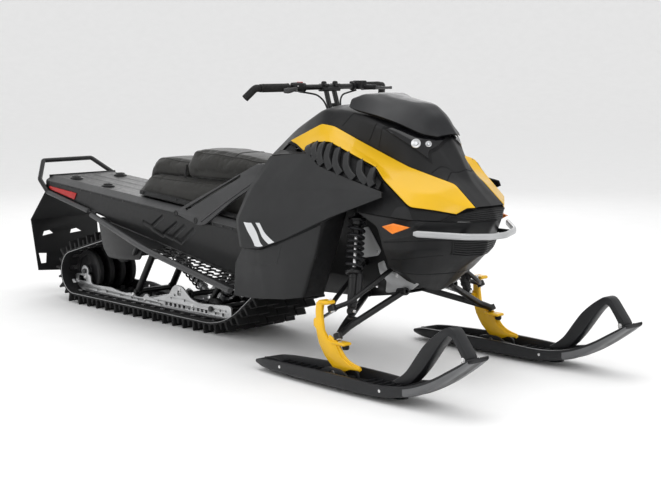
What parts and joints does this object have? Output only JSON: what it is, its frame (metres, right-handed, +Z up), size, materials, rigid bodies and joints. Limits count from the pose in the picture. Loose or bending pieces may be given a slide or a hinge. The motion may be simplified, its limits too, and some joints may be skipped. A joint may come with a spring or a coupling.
{
  "type": "snowmobile",
  "caption": "Mountain snowmobile with a lugged track, long skis on steered knuckles, stepped seat, handlebar and louvred body panels.",
  "frame": {"origin": "on the ground under the middle of the overall length, width and height box", "axes": "+X forwards, +Y to the rider's left, +Z up"},
  "size_m": [3.094, 1.024, 1.0687],
  "materials": {
    "black_plastic": "satin moulded plastic",
    "gloss_black": "gloss moulded plastic",
    "grey_plastic": "fine grained plastic",
    "yellow_plastic": "gloss",
    "vinyl": "grained vinyl",
    "frame_black": "satin black",
    "tunnel_paint": "satin dark grey",
    "bare_aluminium": "brushed",
    "silver_paint": "satin silver",
    "knuckle_yellow": "gloss",
    "track_rubber": "matt",
    "wheel_plastic": "matt",
    "grip_rubber": "matt",
    "ski_plastic": "satin",
    "engine_metal": "cast",
    "red_lens": "clear red",
    "amber_lens": "clear amber",
    "clear_lens": "smoked clear"
  },
  "bodies": {
    "sled": {"track": "track_rubber", "slide_rails": "bare_aluminium", "rear_wheels": "wheel_plastic", "carrier_wheels": "wheel_plastic", "drive_axle": "wheel_plastic", "rail_wheels": "wheel_plastic", "rear_suspension": "frame_black", "front_suspension": "frame_black", "tunnel": "tunnel_paint", "running_board_l": "frame_black", "running_board_r": "frame_black", "grab_bar": "frame_black", "snow_flap": "black_plastic", "frame_arm_l": "tunnel_paint", "frame_arm_r": "tunnel_paint", "seat_tier": "vinyl", "seat_cushion": "vinyl", "seat_bolster": "vinyl", "console": "black_plastic", "cowl": "gloss_black", "strip_l": "yellow_plastic", "strip_r": "yellow_plastic", "vent_l": "black_plastic", "vent_r": "black_plastic", "upper_side_l": "grey_plastic", "upper_side_r": "grey_plastic", "lower_side_l": "grey_plastic", "lower_side_r": "grey_plastic", "nose_panel": "black_plastic", "belly_pan": "grey_plastic", "front_bumper": "silver_paint", "front_frame": "silver_paint", "engine": "engine_metal", "lower_arm_l": "frame_black", "lower_arm_r": "frame_black", "upper_arm_l": "frame_black", "upper_arm_r": "frame_black", "shock_l": "frame_black", "shock_r": "frame_black", "headlamps": "clear_lens", "side_markers": "amber_lens", "tail_lights": "red_lens"},
    "steering": {"riser": "frame_black", "handlebar": "frame_black", "grip_l": "grip_rubber", "grip_r": "grip_rubber", "control_l": "black_plastic", "control_r": "black_plastic"},
    "left_spindle": {"spindle_l": "knuckle_yellow"},
    "right_spindle": {"spindle_r": "knuckle_yellow"},
    "left_ski": {"ski_l": "ski_plastic", "ski_loop_l": "ski_plastic"},
    "right_ski": {"ski_r": "ski_plastic", "ski_loop_r": "ski_plastic"},
    "left_tie_rod": {"tie_rod_l": "frame_black"},
    "right_tie_rod": {"tie_rod_r": "frame_black"}
  },
  "joints": [
    {"name": "steering", "type": "hinge", "parent": "sled", "child": "steering", "pos_m": [0.431, 0, 0.905], "axis": [-0.309, 0, 0.9511], "range_deg": [-30, 30]},
    {"name": "left_spindle", "type": "hinge", "parent": "sled", "child": "left_spindle", "pos_m": [0.877, 0.42, 0.175], "axis": [-0.4392, -0.1365, 0.888], "range_deg": [-25.6, 25.6]},
    {"name": "right_spindle", "type": "hinge", "parent": "sled", "child": "right_spindle", "pos_m": [0.877, -0.42, 0.175], "axis": [-0.4392, 0.1365, 0.888], "range_deg": [-25.6, 25.6]},
    {"name": "left_tie_rod", "type": "slide", "parent": "sled", "child": "left_tie_rod", "axis": [-0.0258, 0.9456, -0.3242], "range_m": [-0.0415, 0.0415]},
    {"name": "right_tie_rod", "type": "slide", "parent": "sled", "child": "right_tie_rod", "axis": [-0.0258, -0.9456, -0.3242], "range_m": [-0.0415, 0.0415]},
    {"name": "left_ski_tilt", "type": "hinge", "parent": "left_spindle", "child": "left_ski", "pos_m": [0.897, 0.43, 0.052], "axis": [0, 1, 0], "range_deg": [-15, 15]},
    {"name": "right_ski_tilt", "type": "hinge", "parent": "right_spindle", "child": "right_ski", "pos_m": [0.897, -0.43, 0.052], "axis": [0, 1, 0], "range_deg": [-15, 15]}
  ],
  "couplings": [
    {"joint": "left_spindle", "follows": "steering", "ratio": 0.85},
    {"joint": "right_spindle", "follows": "steering", "ratio": 0.85},
    {"joint": "left_tie_rod", "follows": "steering", "m_per_rad": -0.079},
    {"joint": "right_tie_rod", "follows": "steering", "m_per_rad": 0.079}
  ]
}
